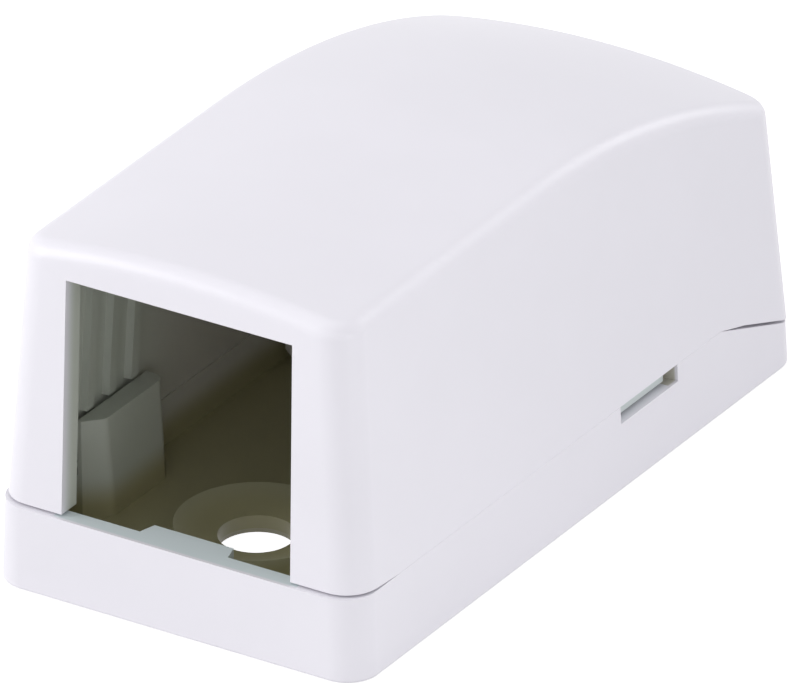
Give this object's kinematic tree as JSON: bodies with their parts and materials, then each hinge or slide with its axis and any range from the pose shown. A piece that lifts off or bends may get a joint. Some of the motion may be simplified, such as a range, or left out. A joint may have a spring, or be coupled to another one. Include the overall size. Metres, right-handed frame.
{
  "type": "surface mount jack box",
  "caption": "Low white wall box for a snap-in jack: a screw-down tray with guide blocks and a clip-on crowned cover with a front window and a rear cable arch.",
  "frame": {"origin": "centre of the underside, on the wall or desk that the box is fixed to", "axes": "+X across the box, +Y from the jack window towards the cable exit, +Z away from the mounting surface"},
  "size_m": [0.0244, 0.0466, 0.0222],
  "materials": {
    "base_plastic": "satin",
    "cover_plastic": "satin",
    "foam": "matte",
    "liner_paper": "waxed"
  },
  "bodies": {
    "base": {"base": "base_plastic", "foam_pad": "foam", "release_liner": "liner_paper"},
    "cover": {"cover": "cover_plastic"}
  },
  "joints": [
    {"name": "cover_lift", "type": "slide", "parent": "base", "child": "cover", "axis": [0, 0, 1], "range_m": [0, 0.012]}
  ]
}
